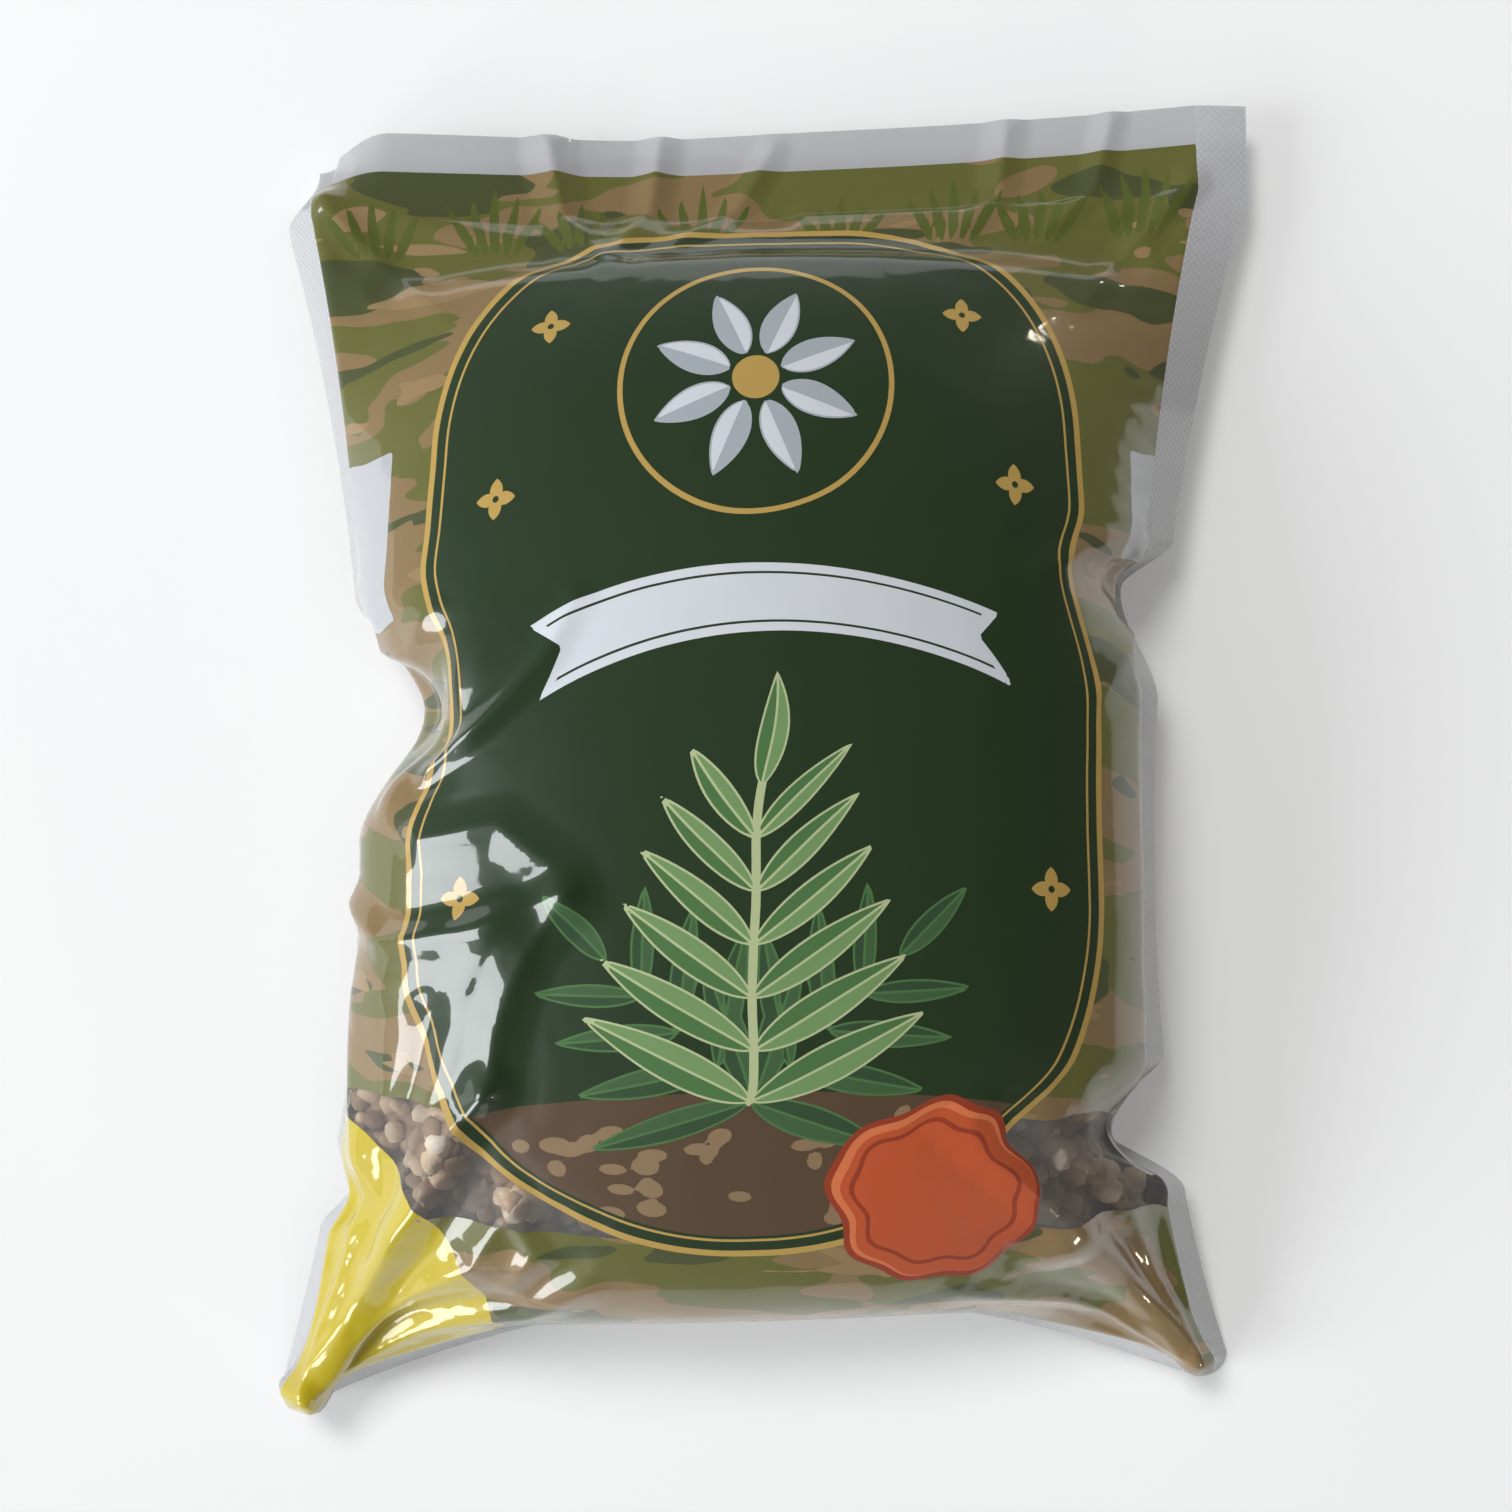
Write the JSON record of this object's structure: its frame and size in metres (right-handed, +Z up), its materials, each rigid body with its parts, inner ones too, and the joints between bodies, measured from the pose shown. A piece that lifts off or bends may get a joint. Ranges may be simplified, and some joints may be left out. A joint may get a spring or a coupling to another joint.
{
  "type": "compost bag",
  "caption": "Sealed flat pouch of printed clear film, filled with coarse soil granules and lying on its back, with pinched sides and a clear band along its top edge.",
  "frame": {"origin": "on the floor, under the middle of the lying bag", "axes": "+X to the right of the printed front, +Y towards the bag's top edge, +Z up, out of the printed front"},
  "size_m": [0.2192, 0.295, 0.0675],
  "materials": {
    "front_film": "glossy printed clear film",
    "back_film": "glossy printed clear film",
    "granules": "dull, rough soil granules"
  },
  "bodies": {
    "root": {"front_web": "front_film", "back_web": "back_film", "granule_fill": "granules"}
  },
  "joints": []
}
